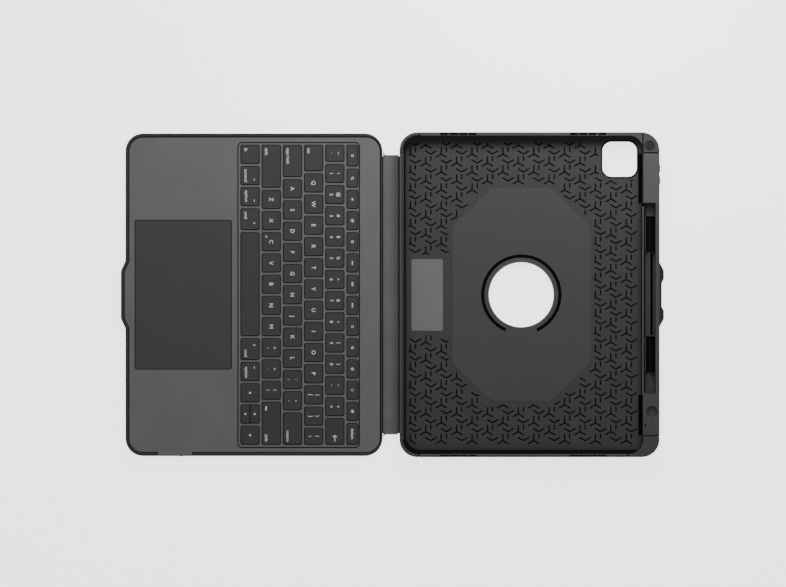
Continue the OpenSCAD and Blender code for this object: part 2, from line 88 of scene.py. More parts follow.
def length(name, text, value):
    """A length in metres that the user may change."""
    return FloatProperty(name=name, description=text, default=value, min=0, unit="LENGTH", precision=5)


def number(name, text, value):
    """A plain number that the user may change."""
    return FloatProperty(name=name, description=text, default=value, min=0)


def colour(name, text, value):
    """A colour that the user may change."""
    return FloatVectorProperty(name=name, description=text, default=value, min=0, max=1, subtype="COLOR")


class CaseSizes(bpy.types.PropertyGroup):
    """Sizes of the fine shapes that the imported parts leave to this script."""

    rim_round: length("Rim rounding", "Rounding of the rim's edges", 0.7 * MM)
    frame_round: length("Frame rounding", "Rounding of the tray frame's edges", 0.75 * MM)
    panel_round: length("Panel rounding", "Rounding of the covers' edges", 0.45 * MM)
    fine_round: length("Fine rounding", "Rounding of the small parts' edges", 0.15 * MM)
    cap_round: length("Keycap rounding", "Rounding of the keycaps' top edges", 0.35 * MM)
    cap_taper: length("Keycap taper", "How far the keycaps' sides lean in", 0.22 * MM)
    cap_dish: length("Keycap dish", "Depth of the dish in each keycap", 0.1 * MM)
    dish_margin: length("Dish margin", "Width of the keycap's border round the dish", 0.85 * MM)
    letter_size: length("Letter size", "Type size of the letters on the keys", 5.2 * MM)
    sign_size: length("Sign size", "Type size of the numbers and signs", 4.2 * MM)
    word_size: length("Word size", "Type size of the words on the wide keys", 3.9 * MM)
    print_depth: length("Print thickness", "Thickness of the printed legends", 0.03 * MM)
    groove_pitch: length("Groove pitch", "Distance along the fold lines between two groove stars", 16.1 * MM)
    groove_row: length("Groove row", "Distance across the fold lines between two like rows of stars", 27.73 * MM)
    groove_arm: length("Groove arm", "Length of one arm of a groove star", 5.9 * MM)
    stem_start: length("Stem start", "Gap between a forked groove and its short stem", 1.8 * MM)
    stem: length("Stem", "Length of the short stem grooves", 4.4 * MM)
    groove_width: length("Groove width", "Width of the grooves in the tray floor", 1.2 * MM)
    groove_depth: length("Groove depth", "Depth of the grooves in the tray floor", 0.7 * MM)
    groove_margin: length("Groove margin", "Plain border that the grooves leave round the floor's parts", 2.2 * MM)
    cloth_wrap: length("Cloth thickness", "Thickness of the cloth round the spine", 0.45 * MM)
    lip_strip: length("Lip strip", "Width of the grey strip on the lining beside the spine", 0.8 * MM)
    cloth_tuck: length("Fold tuck", "How far the cloth of a fold reaches into a panel", 0.6 * MM)
    channel_height: length("Channel height", "Height of the stylus channel's floor", 4.0 * MM)
    hem: length("Hem", "Width of the hem at each end of the spine", 1.6 * MM)


class CaseColours(bpy.types.PropertyGroup):
    """Colours of the surfaces that show."""

    deck: colour("Deck", "Palm rest and the web between the keys", (0.135, 0.135, 0.136))
    rim: colour("Rim", "Rubbery rim round the keyboard", (0.022, 0.022, 0.023))
    keycap: colour("Keycap", "Key tops", (0.040, 0.040, 0.041))
    legend: colour("Legend", "Printed letters and signs", (0.95, 0.95, 0.95))
    trackpad: colour("Trackpad", "Trackpad surface", (0.052, 0.052, 0.053))
    cover: colour("Cover", "Outer skin of the covers", (0.034, 0.034, 0.036))
    cloth: colour("Cloth", "Cloth of the spine", (0.175, 0.175, 0.178))
    floor: colour("Tray floor", "Grooved floor of the tray", (0.041, 0.041, 0.042))
    plate: colour("Hub plate", "Smooth plate round the hub", (0.058, 0.058, 0.059))
    label: colour("Label", "Blank label plate", (0.162, 0.162, 0.164))
    frame: colour("Frame", "Hard frame and stylus rail", (0.060, 0.060, 0.061))
    corner: colour("Corners", "Shock absorbing corners", (0.050, 0.050, 0.051))
    liner: colour("Liner", "Soft black lining", (0.004, 0.004, 0.004))
    # Painted shade: near black laid on walls, gaps, grooves, slots and recesses where shade falls
    shadow: colour("Gaps", "Narrow gaps and sunk lines", (0.0015, 0.0015, 0.0015))
    panel: colour("Rail panel", "Satin insert beside the buttons", (0.086, 0.086, 0.088))


class CaseStage(bpy.types.PropertyGroup):
    """Floor, light and camera."""

    view_width: length("View width", "Width of the floor that the camera sees", 0.7074)
    lens: FloatProperty(name="Lens", description="Focal length in millimetres", default=200, min=20)
    key_power: number("Key light", "Power of the window side light in watts", 7)
    fill_power: number("Fill light", "Power of the opposite light in watts", 1.2)
    tray_power: number("Tray light", "Power of the low light by the tray in watts", 1.1)
    sky: number("Sky", "Strength of the even light from all round", 0.32)
    floor_glow: number("Floor glow", "Light that the floor gives off", 2.4)


def sizes():
    return bpy.context.scene.case_sizes


def colours():
    return bpy.context.scene.case_colours


# ---- Materials ----

# Slot: roughness, metallic, grain in mm, relief, mottle, edge wear
LOOKS = {
    "cover_shell": (0.62, 0, 0.9, 0.30, 0.10, 0.25),
    "rim": (0.55, 0, 0.7, 0.12, 0.08, 0.5),
    "deck": (0.60, 0, 0.6, 0.14, 0.07, 0.15),
    "key_web": (0.60, 0, 0.6, 0.14, 0.07, 0.1),
    "keycap": (0.52, 0, 0.5, 0.10, 0.06, 0.55),
    "trackpad": (0.42, 0, 0.35, 0.03, 0.04, 0.3),
    "plate_steel": (0.35, 1, 0.8, 0.05, 0.10, 0.2),
    "screw_steel": (0.30, 1, 0.5, 0.05, 0.08, 0.2),
    "port_metal": (0.22, 1, 0.5, 0.02, 0.05, 0.1),
    "membrane": (0.45, 0, 1.0, 0.05, 0.06, 0),
    "dome_rubber": (0.60, 0, 0.8, 0.05, 0.05, 0),
    "link_plastic": (0.50, 0, 0.8, 0.05, 0.05, 0),
    "battery": (0.33, 1, 2.0, 0.10, 0.06, 0),
    "circuit": (0.40, 0, 1.2, 0.10, 0.15, 0),
    "magnet": (0.25, 1, 0.8, 0.03, 0.05, 0.1),
    "switch_black": (0.45, 0, 0.5, 0.10, 0.05, 0.3),
    "spine_cloth": (0.85, 0, 0.7, 0.45, 0.10, 0.1),
    "fold_cloth": (0.85, 0, 0.7, 0.40, 0.10, 0),
    "fibreboard": (0.80, 0, 1.5, 0.20, 0.20, 0),
    "leg_board": (0.75, 0, 0.8, 0.35, 0.08, 0.2),
    "acetal": (0.40, 0, 0.8, 0.05, 0.04, 0),
    "hub_plastic": (0.46, 0, 0.6, 0.08, 0.06, 0.4),
    "floor": (0.50, 0, 0.8, 0.20, 0.12, 0.15),
    "hub_plate": (0.44, 0, 0.7, 0.10, 0.05, 0.45),
    "liner": (0.60, 0, 0.8, 0.15, 0.10, 0.25),
    "label": (0.42, 0, 0.5, 0.08, 0.05, 0.2),
    "frame": (0.45, 0, 0.6, 0.10, 0.06, 0.6),
    "corner_rubber": (0.58, 0, 0.7, 0.15, 0.08, 0.45),
    "rail_panel": (0.42, 0, 0.5, 0.06, 0.05, 0.3),
    "button": (0.50, 0, 0.5, 0.10, 0.06, 0.4),
    "legend": (0.50, 0, 0.4, 0.05, 0.04, 0),
    "shadow": (0.90, 0, 0.6, 0.05, 0.04, 0),
}
SHOWN_COLOUR = {
    "cover_shell": "cover", "rim": "rim", "deck": "deck", "key_web": "deck", "keycap": "keycap",
    "trackpad": "trackpad", "spine_cloth": "cloth", "floor": "floor", "hub_plate": "plate",
    "label": "label", "frame": "frame", "corner_rubber": "corner", "liner": "liner",
    "rail_panel": "panel", "legend": "legend", "shadow": "shadow",
}
WOVEN = ("spine_cloth", "fold_cloth", "leg_board", "cover_shell")
made_materials = {}


def new_group(name, inputs, outputs):
    """A shader node group with named sockets; the inputs carry their defaults."""
    group = bpy.data.node_groups.new(name, "ShaderNodeTree")
    for label, kind, value in inputs:
        socket = group.interface.new_socket(label, in_out="INPUT", socket_type=kind)
        if value is not None:
            socket.default_value = value
    for label, kind in outputs:
        group.interface.new_socket(label, in_out="OUTPUT", socket_type=kind)
    return group, group.nodes.new("NodeGroupInput"), group.nodes.new("NodeGroupOutput")


def maths(tree, operation, a, b=None):
    """A Math node; a and b are sockets or numbers."""
    node = tree.nodes.new("ShaderNodeMath")
    node.operation = operation
    for socket, value in zip(node.inputs, (a, b)):
        if isinstance(value, bpy.types.NodeSocket):
            tree.links.new(value, socket)
        elif value is not None:
            socket.default_value = value
    return node.outputs[0]


def tint(tree, colour_socket, gain):
    """A colour made lighter or darker by a factor; both are sockets."""
    node = tree.nodes.new("ShaderNodeVectorMath")
    node.operation = "SCALE"
    tree.links.new(colour_socket, node.inputs[0])
    tree.links.new(gain, node.inputs["Scale"])
    return node.outputs[0]


def blend_colour(tree, factor, a, b):
    """A colour Mix node; factor, a and b are sockets or values."""
    node = tree.nodes.new("ShaderNodeMix")
    node.data_type = "RGBA"
    node.blend_type = "MIX"
    node.clamp_result = True
    for index, value in ((0, factor), (6, a), (7, b)):
        if isinstance(value, bpy.types.NodeSocket):
            tree.links.new(value, node.inputs[index])
        else:
            node.inputs[index].default_value = value
    return node.outputs[2]


def grain_group():
    """Moulded grain: a fine relief, with a slow unevenness in colour and roughness."""
    group, inside, out = new_group(
        "Moulded grain",
        [("Vector", "NodeSocketVector", None), ("Colour", "NodeSocketColor", (0.1, 0.1, 0.1, 1)),
         ("Grain", "NodeSocketFloat", 1.0), ("Mottle", "NodeSocketFloat", 0.1),
         ("Roughness", "NodeSocketFloat", 0.5)],
        [("Colour", "NodeSocketColor"), ("Roughness", "NodeSocketFloat"), ("Height", "NodeSocketFloat")],
    )
    pitch = maths(group, "DIVIDE", 1 / MM, inside.outputs["Grain"])
    fine = group.nodes.new("ShaderNodeTexNoise")
    fine.inputs["Detail"].default_value = 3
    slow = group.nodes.new("ShaderNodeTexNoise")
    slow.inputs["Scale"].default_value = 32
    slow.inputs["Detail"].default_value = 5
    for node in (fine, slow):
        group.links.new(inside.outputs["Vector"], node.inputs["Vector"])
    group.links.new(pitch, fine.inputs["Scale"])
    both = maths(group, "ADD", maths(group, "MULTIPLY", fine.outputs["Fac"], 0.5), slow.outputs["Fac"])
    swing = maths(group, "SUBTRACT", both, 0.75)
    strong = maths(group, "MULTIPLY", inside.outputs["Mottle"], 4)
    gain = maths(group, "ADD", maths(group, "MULTIPLY", swing, strong), 1)
    group.links.new(tint(group, inside.outputs["Colour"], gain), out.inputs["Colour"])
    shift = maths(group, "MULTIPLY", swing, maths(group, "MULTIPLY", inside.outputs["Mottle"], 2))
    group.links.new(maths(group, "SUBTRACT", inside.outputs["Roughness"], shift), out.inputs["Roughness"])
    group.links.new(fine.outputs["Fac"], out.inputs["Height"])
    return group


def weave_group():
    """Plain weave: threads over and under in both directions, as a relief and a shade."""
    group, inside, out = new_group(
        "Plain weave",
        [("Vector", "NodeSocketVector", None), ("Colour", "NodeSocketColor", (0.1, 0.1, 0.1, 1)),
         ("Pitch", "NodeSocketFloat", 0.8), ("Contrast", "NodeSocketFloat", 0.3)],
        [("Colour", "NodeSocketColor"), ("Height", "NodeSocketFloat")],
    )
    split = group.nodes.new("ShaderNodeSeparateXYZ")
    group.links.new(inside.outputs["Vector"], split.inputs[0])
    turns = maths(group, "DIVIDE", 2 * math.pi / MM, inside.outputs["Pitch"])
    waves = [maths(group, "SINE", maths(group, "MULTIPLY", split.outputs[axis], turns)) for axis in (0, 1)]
    height = maths(group, "ADD", maths(group, "MULTIPLY", maths(group, "MULTIPLY", *waves), 0.5), 0.5)
    dark = maths(group, "SUBTRACT", 1, maths(group, "MULTIPLY", maths(group, "SUBTRACT", 1, height),
                                             inside.outputs["Contrast"]))
    group.links.new(tint(group, inside.outputs["Colour"], dark), out.inputs["Colour"])
    group.links.new(height, out.inputs["Height"])
    return group


def wear_group():
    """Rubbed edges: a paler tone where the surface turns sharply."""
    group, inside, out = new_group(
        "Rubbed edges",
        [("Colour", "NodeSocketColor", (0.1, 0.1, 0.1, 1)), ("Wear", "NodeSocketFloat", 0.4),
         ("Reach", "NodeSocketFloat", 0.5)],
        [("Colour", "NodeSocketColor"), ("Mask", "NodeSocketFloat")],
    )
    soft = group.nodes.new("ShaderNodeBevel")
    soft.samples = 4
    group.links.new(maths(group, "MULTIPLY", inside.outputs["Reach"], MM), soft.inputs["Radius"])
    shape = group.nodes.new("ShaderNodeNewGeometry")
    dot = group.nodes.new("ShaderNodeVectorMath")
    dot.operation = "DOT_PRODUCT"
    group.links.new(soft.outputs[0], dot.inputs[0])
    group.links.new(shape.outputs["Normal"], dot.inputs[1])
    turn = maths(group, "SUBTRACT", 1, dot.outputs["Value"])
    mask = maths(group, "MINIMUM", maths(group, "MULTIPLY", turn, 5), 1)
    worn = maths(group, "MULTIPLY", mask, inside.outputs["Wear"])
    pale = blend_colour(group, worn, inside.outputs["Colour"], (0.24, 0.24, 0.245, 1))
    group.links.new(pale, out.inputs["Colour"])
    group.links.new(mask, out.inputs["Mask"])
    return group


def effect(name):
    """The shared node group of that name, made the first time that it is asked for."""
    makers = {"Moulded grain": grain_group, "Plain weave": weave_group, "Rubbed edges": wear_group}
    return bpy.data.node_groups.get(name) or makers[name]()


def place(tree, name, **values):
    """Puts a shared effect into a material, with its own values."""
    node = tree.nodes.new("ShaderNodeGroup")
    node.node_tree = effect(name)
    for label, value in values.items():
        socket = node.inputs[label]
        if isinstance(value, bpy.types.NodeSocket):
            tree.links.new(value, socket)
        else:
            socket.default_value = value
    return node


def finish_of(slot, on_uv=False):
    """The material of one finish; on_uv lays the weave along the piece's own UV map."""
    key = slot + ("_uv" if on_uv else "")
    if key in made_materials:
        return made_materials[key]
    roughness, metallic, grain, relief, mottle, wear = LOOKS[slot]
    base = getattr(colours(), SHOWN_COLOUR[slot]) if slot in SHOWN_COLOUR else RECORD_COLOUR[slot]
    material = bpy.data.materials.new("finish_" + key)
    material.use_nodes = True
    tree = material.node_tree
    shader = tree.nodes["Principled BSDF"]
    places = tree.nodes.new("ShaderNodeTexCoord").outputs["UV" if on_uv else "Object"]
    tone = (*base, 1)
    weave = None
    if slot in WOVEN:
        weave = place(tree, "Plain weave", Vector=places, Colour=tone, Pitch=grain, Contrast=0.35)
        tone = weave.outputs["Colour"]
    grainy = place(tree, "Moulded grain", Vector=places, Colour=tone, Grain=grain * 2 if weave else grain,
                   Mottle=mottle, Roughness=roughness)
    height = (weave or grainy).outputs["Height"]
    shade = grainy.outputs["Colour"]
    if wear:
        shade = place(tree, "Rubbed edges", Colour=shade, Wear=wear * 0.25, Reach=0.5).outputs["Colour"]
    tree.links.new(shade, shader.inputs["Base Color"])
    tree.links.new(grainy.outputs["Roughness"], shader.inputs["Roughness"])
    shader.inputs["Metallic"].default_value = metallic
    bump = tree.nodes.new("ShaderNodeBump")
    bump.inputs["Strength"].default_value = relief
    bump.inputs["Distance"].default_value = 0.1 * MM
    tree.links.new(height, bump.inputs["Height"])
    tree.links.new(bump.outputs["Normal"], shader.inputs["Normal"])
    if slot in ("shadow", "liner"):
        shader.inputs["Specular IOR Level"].default_value = 0.12
    if slot in WOVEN:
        shader.inputs["Sheen Weight"].default_value = 0.15
        shader.inputs["Sheen Roughness"].default_value = 0.5
    made_materials[key] = material
    return material


# ---- Shapes ----

def new_object(name, data):
    """A new object in the scene, at the origin."""
    obj = bpy.data.objects.new(name, data)
    bpy.context.scene.collection.objects.link(obj)
    return obj


def mesh_of(shape, name):
    """Turns a bmesh into a mesh, and frees it."""
    mesh = bpy.data.meshes.new(name)
    shape.to_mesh(mesh)
    shape.free()
    return mesh


def raise_faces(shape, faces, height):
    """Extrudes faces, and moves what is new up by height."""
    grown = bmesh.ops.extrude_face_region(shape, geom=faces)["geom"]
    bmesh.ops.translate(shape, vec=(0, 0, height), verts=[g for g in grown if isinstance(g, bmesh.types.BMVert)])


def middle_of(face):
    return face.calc_center_median()


def bevel(shape, geom, width, segments, affect="EDGES"):
    bmesh.ops.bevel(shape, geom=geom, offset=width, offset_type="OFFSET", segments=segments, profile=0.5,
                    affect=affect, clamp_overlap=affect == "EDGES", material=-1)


def inset(shape, faces, width, depth=0):
    return bmesh.ops.inset_region(shape, faces=faces, thickness=width, depth=depth, use_even_offset=True)


def cad_copy(name):
    """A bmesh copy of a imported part, with its loose triangles joined into whole faces."""
    shape = bmesh.new()
    shape.from_mesh(NODES[name].data)
    bmesh.ops.remove_doubles(shape, verts=shape.verts, dist=0.002 * MM)
    bmesh.ops.dissolve_limit(shape, angle_limit=math.radians(0.8), verts=shape.verts, edges=shape.edges)
    return shape


def sharp_edges(shape, angle=35, keep=None):
    """Edges where the surface turns by more than angle degrees, if keep says so."""
    limit = math.radians(angle)
    return [e for e in shape.edges
            if len(e.link_faces) == 2 and e.calc_face_angle(0) > limit and (not keep or keep(e))]


def round_edges(shape, edges, width, segments=2):
    if edges:
        bevel(shape, edges, width, segments)


def add_piece(shape, name, body, slot, material=None, replaces=(), smooth=40, weighted=True):
    """Makes the bmesh an object that rides on its body, with its material and shading; slot picks the finish when no
    material is given.
    """
    mesh = mesh_of(shape, name)
    obj = new_object(name, mesh)
    mesh.materials.append(material or finish_of(slot))
    mesh.shade_smooth()
    mesh.set_sharp_from_angle(angle=math.radians(smooth))
    if weighted:
        level = obj.modifiers.new("Even shading", "WEIGHTED_NORMAL")
        level.keep_sharp = True
        level.weight = 100
    if body:
        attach(obj, body)
    if replaces:
        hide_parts(*replaces)
    return obj


def soften(name, width, segments=2, dark=None, outline=0):
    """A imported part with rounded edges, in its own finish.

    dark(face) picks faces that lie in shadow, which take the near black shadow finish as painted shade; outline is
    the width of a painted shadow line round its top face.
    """
    shape = cad_copy(name)
    # Painted shade: the faces that dark picks, and the inset ring round the top, take the shadow finish
    for face in shape.faces:
        face.material_index = int(bool(dark and dark(face)))
    if outline:
        high = max(v.co.z for v in shape.verts)
        tops = [f for f in shape.faces if f.normal.z > 0.99 and middle_of(f).z > high - 0.02 * MM]
        for face in inset(shape, tops, outline)["faces"]:
            face.material_index = 1
    round_edges(shape, sharp_edges(shape), width, segments)
    piece = add_piece(shape, name + "_skin", BODY_OF[name], SLOT_OF[name], replaces=(name,))
    if dark or outline:
        piece.data.materials.append(finish_of("shadow"))
    return piece


def is_wall(face):
    return abs(face.normal.z) < 0.5


def solid_boxes(name):
    """Boxes (low, high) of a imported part's separate solids, from the typist's left to right."""
    shape = cad_copy(name)
    left, boxes = set(shape.verts), []
    while left:
        stack, seen = [left.pop()], []
        while stack:
            vert = stack.pop()
            seen.append(vert.co.copy())
            for edge in vert.link_edges:
                other = edge.other_vert(vert)
                if other in left:
                    left.remove(other)
                    stack.append(other)
        boxes.append((Vector(map(min, zip(*seen))), Vector(map(max, zip(*seen)))))
    shape.free()
    return sorted(boxes, key=lambda b: -(b[0].y + b[1].y))


def close_holes(shape):
    bmesh.ops.holes_fill(shape, edges=[e for e in shape.edges if e.is_boundary], sides=0)
    bmesh.ops.recalc_face_normals(shape, faces=shape.faces)


def prism(shape, points, low, high):
    """Adds an upright prism over a flat outline."""
    face = shape.faces.new([shape.verts.new((x, y, low)) for x, y in points])
    raise_faces(shape, [face], high - low)


def rounded_plate(shape, low, high, radius, segments=5):
    """Adds a plate with round corners between two corner points."""
    corners = bmesh.ops.create_grid(shape, x_segments=1, y_segments=1, size=0.5)["verts"]
    middle = (low + high) / 2
    bmesh.ops.scale(shape, vec=(high.x - low.x, high.y - low.y, 1), verts=corners)
    bmesh.ops.translate(shape, vec=(middle.x, middle.y, low.z), verts=corners)
    bevel(shape, corners, radius, segments, "VERTICES")
    face = next(f for f in shape.faces if f.is_valid and all(e.is_boundary for e in f.edges))
    raise_faces(shape, [face], high.z - low.z)


# ---- Keys ----

KEY_NODES = [n for n in NODES if SLOT_OF[n] == "keycap"]


def build_caps(name):
    """The caps of one packed key part: round corners, tapered sides painted near black as shade, and a shallow dish.
    """
    s = sizes()
    shape = bmesh.new()
    for low, high in solid_boxes(name):
        one = bmesh.new()
        rounded_plate(one, low, high, 1.5 * MM)
        close_holes(one)
        middle = (low + high) / 2
        size = high - low
        for vert in one.verts:
            if vert.co.z > middle.z:
                vert.co.x = middle.x + (vert.co.x - middle.x) * (1 - 2 * s.cap_taper / size.x)
                vert.co.y = middle.y + (vert.co.y - middle.y) * (1 - 2 * s.cap_taper / size.y)
        top = max(one.faces, key=lambda f: middle_of(f).z)
        round_edges(one, list(top.edges), s.cap_round, 3)
        # Painted shade: the sides below the rounded top take the shadow finish
        for face in one.faces:
            face.material_index = int(middle_of(face).z < high.z - s.cap_round * 0.55)
        top = max(one.faces, key=lambda f: (round(middle_of(f).z, 6), f.calc_area()))
        inset(one, [top], s.dish_margin * 0.35)
        inset(one, [top], s.dish_margin * 0.65, -s.cap_dish)
        mesh = mesh_of(one, "cap")
        shape.from_mesh(mesh)
        bpy.data.meshes.remove(mesh)
    piece = add_piece(shape, name + "_caps", BODY_OF[name], "keycap", replaces=(name,), smooth=50)
    piece.data.materials.append(finish_of("shadow"))


# A sign is a list of strokes, with x along a line of type and y up it, in mm from the sign's middle.
def bar(x0, y0, x1, y1, w=0.5):
    return ("bar", x0, y0, x1, y1, w)


def dot(x, y, r):
    return ("ring", x, y, 0, r)


def ring(x, y, r, w=0.45):
    return ("ring", x, y, r - w / 2, r + w / 2)


def triangle(x, y, r, turn):
    return ("triangle", x, y, r, turn)


def box_sign(w, h):
    return [bar(-w, -h, w, -h), bar(-w, h, w, h), bar(-w, -h, -w, h), bar(w, -h, w, h)]


def sun(r, rays):
    out = [dot(0, 0, r)]
    for k in range(rays):
        a = 2 * math.pi * k / rays
        x, y = r * math.cos(a), r * math.sin(a)
        out.append(bar(1.7 * x, 1.7 * y, 2.3 * x, 2.3 * y, 0.35))
    return out


FUNCTION_SIGNS = [
    box_sign(0.9, 0.9),
    [ring(-0.2, 0.2, 0.9, 0.35), bar(0.5, -0.5, 1.3, -1.3, 0.4)],
    sun(0.5, 6),
    sun(0.7, 8),
    box_sign(1.0, 0.8),
    [bar(-1.3, 0, -0.9, 0, 0.9), bar(-0.2, 0, 0.2, 0, 0.9), bar(0.9, 0, 1.3, 0, 0.9)],
    [bar(-1.1, 0, -0.3, 0, 1.4), bar(0.3, 0, 1.1, 0, 1.4)],
    [bar(-1.3, 0, -0.9, 0, 1.2), bar(-0.2, 0, 0.2, 0, 1.2), bar(0.9, 0, 1.3, 0, 1.2)],
    [ring(0, 0, 0.95, 0.45)],
    [ring(0, 0, 0.95, 0.45), dot(0, 0, 0.3)],
    [ring(0, 0, 1.05, 0.45), dot(0, 0, 0.4)],
    [ring(0, 0, 1.05, 0.25)],
    [ring(0, 0, 1.25, 0.3), dot(0, 0, 0.75)],
]
LETTERS = {"keys_upper_letters": "QWERTYUIOP", "keys_home_letters": "ASDFGHJKL", "keys_lower_letters": "ZXCVBNM"}
PAIRS = {"keys_upper_letters": ["[{", "]}", "\\|"], "keys_home_letters": [";:", "'\""],
         "keys_lower_letters": [",<", ".>", "/?"]}
NUMBER_PAIRS = ["`~", "1!", "2@", "3#", "4$", "5%", "6^", "7&", "8*", "9(", "0)", "-_", "=+"]
LEFT_WORDS = {"key_tab": "tab", "key_caps_lock": "caps lock", "key_left_shift": "shift"}
RIGHT_WORDS = {"key_return": "return", "key_right_shift": "shift"}
MODIFIERS = ["fn", "control", "option", "cmd", "cmd", "option"]
MODIFIER_SIGNS = {1: [bar(-0.7, -0.4, 0, 0.5, 0.4), bar(0, 0.5, 0.7, -0.4, 0.4)], 2: [bar(-0.9, 0, 0.9, 0, 0.45)],
                  3: box_sign(0.6, 0.6), 4: box_sign(0.6, 0.6), 5: [bar(-0.9, 0, 0.9, 0, 0.45)]}
ARROWS = {"key_arrow_left": 180, "key_arrow_up": 90, "key_arrow_down": 270, "key_arrow_right": 0}
TYPE_WEIGHT = 0.015 * MM
RING_STEPS = 14
type_cache = {}


def type_mesh(words, size):
    """The mesh of a line of type that starts at u = 0, centred on v = 0."""
    key = (words, size)
    if key not in type_cache:
        curve = bpy.data.curves.new("type", "FONT")
        curve.body = words
        curve.size = size
        curve.offset = TYPE_WEIGHT
        curve.extrude = sizes().print_depth / 2
        curve.resolution_u = 2
        holder = new_object("type", curve)
        graph = bpy.context.evaluated_depsgraph_get()
        mesh = bpy.data.meshes.new_from_object(holder.evaluated_get(graph))
        bpy.data.objects.remove(holder)
        bpy.data.curves.remove(curve)
        low = Vector(map(min, zip(*[v.co for v in mesh.vertices])))
        high = Vector(map(max, zip(*[v.co for v in mesh.vertices])))
        mid = size * 0.35 if len(words) == 1 and words.isalnum() else (low.y + high.y) / 2
        mesh.transform(Matrix.Translation((-low.x, -mid, 0)))
        type_cache[key] = (mesh, high.x - low.x)
    return type_cache[key]


def add_type(shape, words, size, u, v, key, side=0):
    """Prints words on a key; side -1 starts them at u, 0 centres them on it, 1 ends them there."""
    mesh, wide = type_mesh(words, size)
    start = u - wide * (side + 1) / 2
    copy = mesh.copy()
    copy.transform(key @ Matrix.Translation((start, v, 0)))
    shape.from_mesh(copy)
    bpy.data.meshes.remove(copy)


def add_sign(shape, strokes, u, v, key):
    """Prints a sign drawn from bars, rings and triangles, with its sizes in mm."""
    half = sizes().print_depth / 2
    one = bmesh.new()
    for kind, *n in strokes:
        if kind == "bar":
            a, b = Vector(n[0:2]), Vector(n[2:4])
            along = (b - a).normalized() * n[4] / 2
            across = Vector((-along.y, along.x))
            points = [a - along - across, b + along - across, b + along + across, a - along + across]
            prism(one, [(p.x * MM, p.y * MM) for p in points], -half, half)
        elif kind == "triangle":
            x, y, r, turn = n
            angles = [math.radians(turn + k) for k in (0, 120, 240)]
            prism(one, [((x + r * math.cos(a)) * MM, (y + r * math.sin(a)) * MM) for a in angles], -half, half)
        else:
            x, y, inner, outer = n
            steps = [2 * math.pi * k / RING_STEPS for k in range(RING_STEPS)]
            if inner <= 0:
                rim = [((x + outer * math.cos(a)) * MM, (y + outer * math.sin(a)) * MM) for a in steps]
                prism(one, rim, -half, half)
            else:
                for a, b in zip(steps, steps[1:] + steps[:1]):
                    prism(one, [((x + r * math.cos(t)) * MM, (y + r * math.sin(t)) * MM)
                                for r, t in ((inner, a), (outer, a), (outer, b), (inner, b))], -half, half)
    close_holes(one)
    mesh = mesh_of(one, "sign")
    mesh.transform(key @ Matrix.Translation((u, v, 0)))
    shape.from_mesh(mesh)
    bpy.data.meshes.remove(mesh)


def key_place(low, high):
    """Matrix from a key's line of type to its place: the type's top points away from the typist."""
    s = sizes()
    middle = (low + high) / 2
    up = high.z - s.cap_dish + s.print_depth * 0.3
    return Matrix.Translation((middle.x, middle.y, up)) @ Matrix.Rotation(-math.pi / 2, 4, "Z")


def add_legends(name):
    """All that is printed on the keys of one packed key part."""
    s = sizes()
    pair_gap, word_in, word_drop, modifier_drop = 3.1 * MM, 2.6 * MM, -4.4 * MM, -3.7 * MM
    shape = bmesh.new()
    for index, (low, high) in enumerate(solid_boxes(name)):
        key = key_place(low, high)
        half_u = (high.y - low.y) / 2
        if name in LETTERS:
            letters = LETTERS[name]
            if index < len(letters):
                add_type(shape, letters[index], s.letter_size, 0, 0, key)
                if letters[index] == "C":
                    add_sign(shape, [dot(0, 0, 0.75)], -4.6 * MM, -4.4 * MM, key)
            else:
                pair = PAIRS[name][index - len(letters)]
                add_type(shape, pair[0], s.sign_size, 0, -pair_gap, key)
                add_type(shape, pair[1], s.sign_size, 0, pair_gap, key)
        elif name == "keys_numbers":
            pair = NUMBER_PAIRS[index]
            add_type(shape, pair[0], s.sign_size, 0, -3.0 * MM, key)
            add_type(shape, pair[1], s.sign_size, 0, pair_gap, key)
        elif name in LEFT_WORDS:
            add_type(shape, LEFT_WORDS[name], s.word_size, -half_u + word_in, word_drop, key, -1)
        elif name in RIGHT_WORDS:
            add_type(shape, RIGHT_WORDS[name], s.word_size, half_u - word_in, word_drop, key, 1)
            if name == "key_right_shift":
                add_sign(shape, [bar(-1.1, 0, 1.1, 0, 1.3)], -half_u + 5.5 * MM, -4.6 * MM, key)
        elif name == "keys_modifiers":
            side = -1 if index < 4 else 1
            add_type(shape, MODIFIERS[index], s.word_size, side * (half_u - word_in), modifier_drop, key, side)
            if index in MODIFIER_SIGNS:
                add_sign(shape, MODIFIER_SIGNS[index], -side * 3.6 * MM, 3.8 * MM, key)
        elif name == "keys_function":
            if index < len(FUNCTION_SIGNS):
                add_sign(shape, FUNCTION_SIGNS[index], 0, 0, key)
            else:
                add_type(shape, "delete", s.word_size, 0, 0, key)
        elif name == "key_backspace":
            add_sign(shape, [bar(-2.6, 0, 2.8, 0, 0.6), bar(-2.7, 0, -1.1, 1.6, 0.6), bar(-2.7, 0, -1.1, -1.6, 0.6)],
                     half_u - 5.6 * MM, 0, key)
        elif name in ARROWS:
            add_sign(shape, [triangle(0, 0, 1.35, ARROWS[name])], 0, 0, key)
    if not shape.verts:
        shape.free()
        return
    bmesh.ops.remove_doubles(shape, verts=shape.verts, dist=0.001 * MM)
    add_piece(shape, name + "_print", BODY_OF[name], "keycap", material=finish_of("legend"), smooth=30,
              weighted=False)


# ---- Tray floor ----

